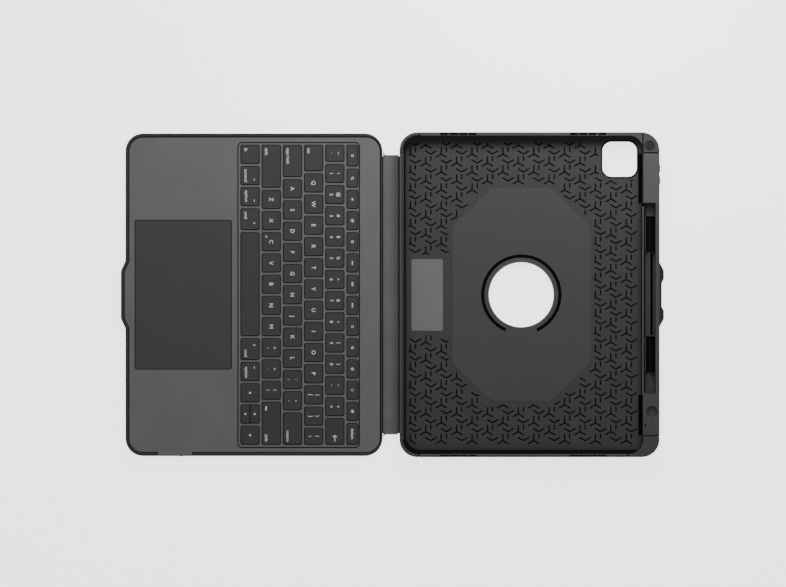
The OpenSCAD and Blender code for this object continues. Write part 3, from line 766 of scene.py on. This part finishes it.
def star_outline(middle, arms, wide):
    """Outline of two or three joined strokes; arms holds (direction in degrees, length), turning left."""
    points = []
    for index, (turn, reach) in enumerate(arms):
        a = math.radians(turn)
        along, across = Vector((math.cos(a), math.sin(a))), Vector((-math.sin(a), math.cos(a))) * wide / 2
        points += [middle + along * reach - across, middle + along * reach + across]
        after = arms[(index + 1) % len(arms)][0]
        gap = math.radians((after - turn) % 360)
        half = a + gap / 2
        points.append(middle + Vector((math.cos(half), math.sin(half))) * wide / 2 / math.sin(gap / 2))
    return [tuple(p) for p in points]


def stroke_outline(root, tip, wide):
    """Outline of a single stroke between two points."""
    along = (tip - root).normalized()
    across = Vector((-along.y, along.x)) * wide / 2
    return [tuple(p) for p in (root - across, tip - across, tip + across, root + across)]


def star_sites():
    """Middles of the groove stars over the whole floor, with their kind."""
    s = sizes()
    low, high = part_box("tray_floor")
    hub = (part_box("hub_sleeve")[0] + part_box("hub_sleeve")[1]) / 2
    step = s.groove_pitch
    across = s.groove_row
    first = Vector((hub.x - 85.9 * MM, 134.5 * MM))
    for column in range(-4, 22):
        x = first.x + column * across / 2
        for row in range(-22, 4):
            y = first.y + (row + 0.5 * (column % 2)) * step
            yield Vector((x, y)), "down"
            yield Vector((x + across / 6, y - step / 2)), "up"


def build_floor():
    """The tray floor, with the star grooves sunk into it and painted near black inside as shade."""
    s = sizes()
    low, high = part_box("tray_floor")
    field_low, field_high = -136.6 * MM, 136.9 * MM
    edge_low = Vector((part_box("inner_liner")[0].x + 5 * MM, field_low))
    edge_high = Vector((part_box("stylus_rail")[0].x - 3 * MM, field_high))
    plate_low, plate_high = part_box("hub_plate")
    label_low, label_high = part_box("label_plate")
    window_low, window_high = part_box("camera_gasket")
    hub = (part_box("hub_sleeve")[0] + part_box("hub_sleeve")[1]) / 2
    half = (plate_high - plate_low) / 2
    cut = 34.5 * MM
    corner = 8 * MM

    def clear(p):
        """True where a groove's point stays off the floor's edges and the parts set into it."""
        if not (edge_low.x < p.x < edge_high.x and edge_low.y < p.y < edge_high.y):
            return False
        nx = max(edge_low.x + corner - p.x, p.x - edge_high.x + corner, 0)
        ny = max(edge_low.y + corner - p.y, p.y - edge_high.y + corner, 0)
        if math.hypot(nx, ny) > corner:
            return False
        px, py = abs(p.x - hub.x), abs(p.y)
        side = (px - half.x + cut + py - half.y) / math.sqrt(2)
        if max(px - half.x, py - half.y, side) < s.groove_margin * 1.2:
            return False
        for a, b, extra in ((label_low, label_high, 3.2 * MM), (window_low, window_high, 1.6 * MM)):
            if a.x - extra < p.x < b.x + extra and a.y - extra < p.y < b.y + extra:
                return False
        return True

    cutter = bmesh.new()
    bottom, top = high.z - s.groove_depth, high.z + 1 * MM
    wide, reach = s.groove_width, s.groove_arm
    least = 1.4 * MM

    def trimmed(middle, turn, end):
        """The longest clear arm in that direction, or 0."""
        a = math.radians(turn)
        along = Vector((math.cos(a), math.sin(a)))
        while end > least and not clear(middle + along * end):
            end -= 0.5 * MM
        return end if end > least else 0

    for middle, kind in star_sites():
        turns = (90, 210, 330) if kind == "down" else (30, 150)
        inside = clear(middle)
        arms = [(turn, trimmed(middle, turn, reach)) for turn in turns] if inside else []
        arms = [(turn, end) for turn, end in arms if end]
        if len(arms) > 1:
            prism(cutter, star_outline(middle, arms, wide), bottom, top)
        elif arms:
            a = math.radians(arms[0][0])
            tip = middle + Vector((math.cos(a), math.sin(a))) * arms[0][1]
            prism(cutter, stroke_outline(middle, tip, wide), bottom, top)
        if kind == "up":
            root, tip = (middle - Vector((0, y)) for y in (s.stem_start, s.stem_start + s.stem))
            if clear(root) and clear(tip):
                prism(cutter, stroke_outline(root, tip, wide), bottom, top)
    close_holes(cutter)
    tool = new_object("grooves", mesh_of(cutter, "grooves"))
    shape = cad_copy("tray_floor")
    piece = add_piece(shape, "tray_floor_grooved", "tray", "floor", replaces=("tray_floor",), weighted=False)
    cut_with(piece, tool)
    piece.data.materials.append(finish_of("shadow"))
    # Painted shade: the small sunk faces of the grooves take the shadow finish
    for face in piece.data.polygons:
        sunk = face.center.z < high.z - 0.05 * MM and face.center.z > low.z + 0.1 * MM
        face.material_index = int(sunk and face.area < 60 * MM * MM)
    return piece


def cut_with(piece, tool):
    """Cuts a tool out of a piece for good, then removes the tool."""
    cutting = piece.modifiers.new("Cut", "BOOLEAN")
    cutting.operation = "DIFFERENCE"
    cutting.solver = "EXACT"
    cutting.object = tool
    graph = bpy.context.evaluated_depsgraph_get()
    result = bpy.data.meshes.new_from_object(piece.evaluated_get(graph))
    piece.modifiers.remove(cutting)
    old = piece.data
    piece.data = result
    bpy.data.meshes.remove(old)
    bpy.data.objects.remove(tool)
    result.shade_flat()


def slice_at(shape, place_at, normal):
    """Cuts new edges where a plane meets the shape."""
    bmesh.ops.bisect_plane(shape, geom=shape.verts[:] + shape.edges[:] + shape.faces[:], plane_co=place_at,
                           plane_no=normal, dist=0.001 * MM)


def mark(obj, boxes, depth=0, slot="shadow"):
    """Gives parts of an object's top another finish, by default the near black shadow finish as painted shade,
    pressed in by depth: boxes are (x0, x1, y0, y1) in mm.
    """
    shape = bmesh.new()
    shape.from_mesh(obj.data)
    high = max(v.co.z for v in shape.verts)
    index = len(obj.data.materials)
    for x0, x1, y0, y1 in boxes:
        for x in (x0, x1):
            slice_at(shape, (x * MM, 0, 0), (1, 0, 0))
        for y in (y0, y1):
            slice_at(shape, (0, y * MM, 0), (0, 1, 0))
        chosen = []
        for face in shape.faces:
            c = middle_of(face)
            inside = x0 * MM < c.x < x1 * MM and y0 * MM < c.y < y1 * MM
            if inside and face.normal.z > 0.3 and c.z > high - 1.2 * MM:
                chosen.append(face)
        for face in chosen:
            face.material_index = index
        if depth and chosen:
            before = set(shape.faces)
            raise_faces(shape, chosen, -depth)
            bmesh.ops.delete(shape, geom=[f for f in chosen if f.is_valid], context="FACES_ONLY")
            for face in shape.faces:
                if face not in before:
                    face.material_index = index
    if depth:
        bmesh.ops.recalc_face_normals(shape, faces=shape.faces)
    shape.to_mesh(obj.data)
    shape.free()
    obj.data.materials.append(finish_of(slot))
    if depth:
        obj.data.set_sharp_from_angle(angle=math.radians(40))


def build_liner():
    """The soft lining: black, with one grey strip on its lip beside the spine."""
    s = sizes()
    low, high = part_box("inner_liner")
    strip = s.lip_strip
    reach = high.y - 13 * MM
    shape = cad_copy("inner_liner")
    slice_at(shape, (low.x + strip, 0, 0), (1, 0, 0))
    for y in (-reach, reach):
        slice_at(shape, (0, y, 0), (0, 1, 0))
    tops = [f for f in shape.faces if f.normal.z > 0.99 and middle_of(f).z > high.z - 0.02 * MM]
    band = [f for f in tops if middle_of(f).x < low.x + strip and abs(middle_of(f).y) < reach]
    for face in shape.faces:
        face.material_index = 0
    inset(shape, band, 0.1 * MM)
    for face in band:
        face.material_index = 1
    round_edges(shape, sharp_edges(shape, 35), 0.12 * MM, 2)
    piece = add_piece(shape, "inner_liner_skin", "tray", "liner", replaces=("inner_liner",))
    piece.data.materials.append(finish_of("frame"))


def corner_disc():
    """The flush round plug in the tray's far right corner."""
    low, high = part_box("corner_bumpers")
    middle = (high.x - 8.7 * MM, high.y - 11.8 * MM)
    radius = 4.75 * MM
    corners = bpy.data.objects["corner_bumpers_skin"]
    cut_low, cut_high = high.z - 0.4 * MM, high.z + 1 * MM
    hole = bmesh.new()
    bmesh.ops.create_cone(hole, cap_ends=True, segments=48, radius1=radius, radius2=radius,
                          depth=cut_high - cut_low, matrix=Matrix.Translation((*middle, (cut_low + cut_high) / 2)))
    cut_with(corners, new_object("disc_cut", mesh_of(hole, "disc_cut")))
    corners.data.shade_smooth()
    corners.data.set_sharp_from_angle(angle=math.radians(30))
    inner = radius - 0.2 * MM
    shape = bmesh.new()
    bmesh.ops.create_cone(shape, cap_ends=True, segments=48, radius1=inner, radius2=inner, depth=0.35 * MM,
                          matrix=Matrix.Translation((*middle, high.z - 0.22 * MM)))
    round_edges(shape, sharp_edges(shape, 60), 0.1 * MM, 2)
    add_piece(shape, "corner_plug", "tray", "corner_rubber", material=finish_of("switch_black"), smooth=30)


# ---- Operators ----

class CASE_OT_stage(bpy.types.Operator):
    """Lay the pale floor and set the soft lights and the camera"""

    bl_idname = "case.stage"
    bl_label = "Stage"

    def execute(self, context):
        s = context.scene.case_stage
        ground = bmesh.new()
        bmesh.ops.create_grid(ground, x_segments=1, y_segments=1, size=6)
        mesh = mesh_of(ground, "floor_sheet")
        sheet = new_object("floor_sheet", mesh)
        pale = bpy.data.materials.new("finish_stage")
        pale.use_nodes = True
        shader = pale.node_tree.nodes["Principled BSDF"]
        shader.inputs["Base Color"].default_value = (0.9, 0.9, 0.9, 1)
        shader.inputs["Roughness"].default_value = 0.9
        shader.inputs["Specular IOR Level"].default_value = 0.1
        shader.inputs["Emission Color"].default_value = (1, 1, 1, 1)
        shader.inputs["Emission Strength"].default_value = s.floor_glow
        mesh.materials.append(pale)
        low, high = CAD_BOX
        middle = (low + high) / 2
        for name, power, place_at, wide in (
            ("light_key", s.key_power, (0.0, 0.75, 0.75), (1.6, 0.7)),
            ("light_tray", s.tray_power, (0.2, 0.4, 0.24), (0.3, 0.15)),
            ("light_fill", s.fill_power, (-0.2, -1.5, 1.7), (1.8, 1.2)),
        ):
            lamp = bpy.data.lights.new(name, "AREA")
            lamp.shape = "RECTANGLE"
            lamp.size, lamp.size_y = wide
            lamp.energy = power
            holder = new_object(name, lamp)
            holder.location = place_at
            holder.rotation_euler = (middle - holder.location).to_track_quat("-Z", "Y").to_euler()
        world = bpy.data.worlds.new("even_sky")
        world.use_nodes = True
        sky = world.node_tree.nodes["Background"]
        sky.inputs["Color"].default_value = (1, 1, 1, 1)
        sky.inputs["Strength"].default_value = s.sky
        context.scene.world = world
        camera = bpy.data.cameras.new("camera")
        camera.lens = s.lens
        camera.sensor_width = 36
        camera.clip_end = 50
        holder = new_object("camera", camera)
        distance = s.view_width * s.lens / camera.sensor_width
        aside = Vector((0.45 * MM, 1.1 * MM))
        holder.location = (middle.x + aside.x, middle.y + aside.y, distance)
        context.scene.camera = holder
        return {"FINISHED"}


class CASE_OT_covers(bpy.types.Operator):
    """Make the front cover, the two back panels and the stand leg"""

    bl_idname = "case.covers"
    bl_label = "Covers"

    def execute(self, context):
        s = sizes()
        for name in ("front_cover", "back_lower_panel", "back_upper_panel"):
            soften(name, s.panel_round)
        soften("stand_leg", s.fine_round)
        return {"FINISHED"}


class CASE_OT_keyboard(bpy.types.Operator):
    """Make the rim, the deck, the web between the keys and the trackpad"""

    bl_idname = "case.keyboard"
    bl_label = "Keyboard deck"

    def execute(self, context):
        s = sizes()
        soften("front_rim", s.rim_round, 3)
        # Painted shade: the walls and the outline rings round the tops take the shadow finish, standing in for the
        # shaded gaps round the keys, trackpad and rim
        soften("top_deck", s.fine_round, dark=is_wall, outline=0.3 * MM)
        soften("key_frame", s.fine_round, dark=is_wall, outline=0.14 * MM)
        soften("trackpad", s.fine_round, dark=is_wall)
        return {"FINISHED"}


class CASE_OT_keys(bpy.types.Operator):
    """Make the keycaps and print their letters and signs"""

    bl_idname = "case.keys"
    bl_label = "Keys"

    def execute(self, context):
        for name in KEY_NODES:
            build_caps(name)
            add_legends(name)
        return {"FINISHED"}


def fold_strip(name, old, z0, z1):
    """Cloth across a fold: a thin strip, tucked into both panels."""
    x0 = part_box(old)[0].x
    x1, half_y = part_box(old)[1].xy
    shape = bmesh.new()
    tuck = sizes().cloth_tuck
    base = bmesh.ops.create_grid(shape, x_segments=12, y_segments=24, size=0.5)["verts"]
    bmesh.ops.scale(shape, vec=(x1 - x0 + 2 * tuck, 2 * half_y, 1), verts=base)
    bmesh.ops.translate(shape, vec=((x0 + x1) / 2, 0, z0), verts=base)
    raise_faces(shape, list(shape.faces), z1 - z0)
    close_holes(shape)
    lay_uv(shape)
    piece = add_piece(shape, name, None, "fold_cloth", material=finish_of("fold_cloth", True), replaces=(old,),
                      weighted=False)
    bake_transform(piece)
    return piece


def lay_uv(shape):
    """Flat UV map in metres, so that a weave follows the cloth when it bends."""
    layer = shape.loops.layers.uv.new("flat")
    for face in shape.faces:
        for loop in face.loops:
            loop[layer].uv = (loop.vert.co.x + loop.vert.co.z, loop.vert.co.y)


class CASE_OT_spine(bpy.types.Operator):
    """Wrap the spine in cloth, and bridge the folds with strips"""

    bl_idname = "case.spine"
    bl_label = "Spine cloth"

    def execute(self, context):
        s = sizes()
        low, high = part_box("spine_fabric")
        flare, shoulder, step = 3.0 * MM, 2.9 * MM, 0.35 * MM
        stitch_down, stitch_up = -0.16 * MM, 0.1 * MM
        corner = [(low.x, high.y + flare), (low.x + step, high.y), (high.x, high.y)]
        outline = corner + [(x, -y) for x, y in reversed(corner)]
        shape = bmesh.new()
        face = shape.faces.new([shape.verts.new((x, y, low.z)) for x, y in outline])
        inner = [v for v in face.verts if abs(v.co.x - low.x - step) < 0.01 * MM]
        bevel(shape, inner, shoulder, 6, "VERTICES")
        raise_faces(shape, list(shape.faces), high.z - low.z)
        close_holes(shape)
        round_edges(shape, sharp_edges(shape, 60, lambda e: abs(e.verts[0].co.z - e.verts[1].co.z) < 0.1 * MM),
                    0.5 * MM, 3)
        for side in (-1, 1):
            for offset in (0, 0.25, 0.5, 1.2):
                slice_at(shape, (0, side * (high.y - s.hem - offset * MM), 0), (0, 1, 0))
            for vert in shape.verts:
                if abs(vert.co.y - side * (high.y - s.hem - 0.25 * MM)) < 0.01 * MM:
                    vert.co.z += stitch_down if vert.co.z > MM else stitch_up
        lay_uv(shape)
        cloth = add_piece(shape, "spine_cloth", "spine", "spine_cloth", material=finish_of("spine_cloth", True),
                          replaces=("spine_fabric",))
        wall = cloth.modifiers.new("Cloth", "SOLIDIFY")
        wall.thickness = s.cloth_wrap
        wall.offset = -1
        for name, old, body_a, body_b, z0, z1 in (
            ("front_fold_cloth", "front_hinge_fabric", "keyboard_half", "spine", 0.15 * MM, 1.35 * MM),
            ("rear_fold_cloth", "rear_hinge_fabric", "spine", "back_lower", 0.15 * MM, 1.35 * MM),
            ("stand_fold_cloth", "stand_hinge_fabric", "stand_leg", "back_upper", 0.05 * MM, 0.7 * MM),
        ):
            fold_strip(name, old, z0, z1)
        return {"FINISHED"}


class CASE_OT_tray(bpy.types.Operator):
    """Make the tray: grooved floor, hub, label, frame, liner and corners"""

    bl_idname = "case.tray"
    bl_label = "Tray"

    def execute(self, context):
        s = sizes()
        tray_floor = build_floor()
        # Painted shadow: a near black strip on the floor beside the stylus rail, where the rail's side throws shade
        rail_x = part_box("stylus_rail")[0].x / MM
        gap = (rail_x - 2.2, rail_x + 1)
        mark(tray_floor, [(*gap, 82, 127), (*gap, -126.5, -90)])
        plate_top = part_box("hub_plate")[1].z
        # Painted shade: the faces of the ring groove just below the plate's top take the shadow finish
        soften("hub_plate", 0.3 * MM, 3,
               dark=lambda f: 0.1 * MM < plate_top - middle_of(f).z < 0.6 * MM)
        soften("hub_sleeve", 0.3 * MM, 3)
        soften("label_plate", s.fine_round)
        soften("camera_gasket", s.fine_round, dark=lambda f: True)
        # Painted shade: the frame's walls take the near black shadow finish
        for name in ("left_bumper", "top_bumper", "bottom_bumper", "corner_bumpers"):
            soften(name, s.frame_round, 3, dark=is_wall)
        build_liner()
        corner_disc()
        # Vents and seams are pressed in by sink and take the near black shadow finish as painted shade
        seam, sink = 0.7, 0.45 * MM
        vent, vent_pitch, vent_reach = 7.2, 8.4, 16.2
        for name in ("top_bumper", "bottom_bumper"):
            low, high = (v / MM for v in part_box(name))
            rows = (high.y - 2.6, high.y - 0.3) if name == "top_bumper" else (low.y + 0.8, low.y + 2.0)
            starts = [middle - vent_reach + vent_pitch * index for middle in (59.1, 175.5) for index in range(4)]
            vents = [(start, start + vent, *rows) for start in starts]
            ends = [(low.x, low.x + seam, low.y, high.y), (high.x - seam, high.x, low.y, high.y)]
            mark(bpy.data.objects[name + "_skin"], vents + ends, sink)
        low, high = (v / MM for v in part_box("left_bumper"))
        mark(bpy.data.objects["left_bumper_skin"],
             [(low.x, high.x, low.y, low.y + seam), (low.x, high.x, high.y - seam, high.y)], sink)
        return {"FINISHED"}


class CASE_OT_rail(bpy.types.Operator):
    """Make the stylus rail with its grips, ribs, insert and buttons"""

    bl_idname = "case.rail"
    bl_label = "Stylus rail"

    def execute(self, context):
        s = sizes()
        rail = soften("stylus_rail", 0.4 * MM, 3, dark=is_wall)
        low, high = (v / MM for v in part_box("stylus_rail"))
        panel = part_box("volume_panel")[0].y / MM
        edge, seam = high.x, 0.7
        lip = low.x + 1.5
        near_end, channel_end = -89.4, panel - 3.4
        # Painted shade: these strips are pressed in 0.4 mm and take the near black shadow finish where the rail's
        # gaps and sides lie in shade
        recesses = [
            (low.x, lip, panel + 0.3, high.y),  # beside the volume panel
            (low.x, edge - 5.2, channel_end + 0.1, panel - 0.2),  # across the channel's far end
            (low.x, lip, low.y, near_end - 0.1),  # beside the near end
            (low.x, low.x + seam, near_end, channel_end),  # along the channel, by the tray floor
            (edge - 13.9, edge - 12.95, -88, channel_end),  # in the lip beside the channel
            (edge - 13.3, edge - 12.1, -119, -116),  # a short slot near the end
            (low.x, high.x, low.y, low.y + seam),
            (low.x, high.x, high.y - seam, high.y),
        ]
        mark(rail, recesses, 0.4 * MM)
        grips = soften("stylus_grips", 0.3 * MM, 3)
        low, high = (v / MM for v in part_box("stylus_grips"))
        # Painted highlight: the left part of the grips takes the lighter frame finish, where its inner face catches
        # the light
        mark(grips, [(low.x, edge - 9.4, low.y, high.y)], slot="frame")
        for name in ("volume_panel", "volume_up", "volume_down"):
            soften(name, 0.3 * MM, 3)
        ribs = bmesh.new()
        grip_low, grip_high = 33.5, 33.0
        # The first plate is a low rib; the second is a thin sheet in the near black shadow finish, a painted shadow
        # for the slot in the channel floor
        for x0, x1, up in ((8.9, 8.0, 0.5), (7.8, 5.5, 0.06)):
            a = Vector(((edge - x0) * MM, (low.y + grip_low) * MM, s.channel_height))
            b = Vector(((edge - x1) * MM, (high.y - grip_high) * MM, s.channel_height + up * MM))
            rounded_plate(ribs, a, b, 0.3 * MM, 2)
        for face in ribs.faces:
            face.material_index = int(middle_of(face).x > (edge - 7.9) * MM)
        close_holes(ribs)
        lines = add_piece(ribs, "rail_ribs", "tray", "frame", smooth=30, weighted=False)
        lines.data.materials.append(finish_of("shadow"))
        return {"FINISHED"}


class CASE_OT_insides(bpy.types.Operator):
    """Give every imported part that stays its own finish"""

    bl_idname = "case.insides"
    bl_label = "Inner parts"

    def execute(self, context):
        for name, obj in NODES.items():
            material = finish_of(SLOT_OF[name])
            if obj.material_slots:
                for slot in obj.material_slots:
                    slot.material = material
            else:
                obj.data.materials.append(material)
        return {"FINISHED"}


class CASE_PT_panel(bpy.types.Panel):
    """Lists the pieces of the case and the sizes and colours that they use."""

    bl_idname = "CASE_PT_panel"
    bl_label = "Tablet keyboard case"
    bl_space_type = "VIEW_3D"
    bl_region_type = "UI"
    bl_category = "Case"

    def draw(self, context):
        layout = self.layout
        for operator in OPERATORS:
            layout.operator(operator.bl_idname)
        for group in (context.scene.case_sizes, context.scene.case_colours, context.scene.case_stage):
            for name in group.bl_rna.properties.keys():
                if name not in ("rna_type", "name"):
                    layout.prop(group, name)


OPERATORS = (CASE_OT_stage, CASE_OT_covers, CASE_OT_keyboard, CASE_OT_keys, CASE_OT_spine, CASE_OT_tray,
             CASE_OT_rail, CASE_OT_insides)
GROUPS = (CaseSizes, CaseColours, CaseStage)
CLASSES = GROUPS + OPERATORS + (CASE_PT_panel,)


def register():
    for cls in CLASSES:
        bpy.utils.register_class(cls)
    bpy.types.Scene.case_sizes = PointerProperty(type=CaseSizes)
    bpy.types.Scene.case_colours = PointerProperty(type=CaseColours)
    bpy.types.Scene.case_stage = PointerProperty(type=CaseStage)


def unregister():
    del bpy.types.Scene.case_stage
    del bpy.types.Scene.case_colours
    del bpy.types.Scene.case_sizes
    for cls in reversed(CLASSES):
        bpy.utils.unregister_class(cls)


def main():
    register()
    for operator in OPERATORS:
        group, action = operator.bl_idname.split(".")
        getattr(getattr(bpy.ops, group), action)()


if __name__ == "__main__":
    main()
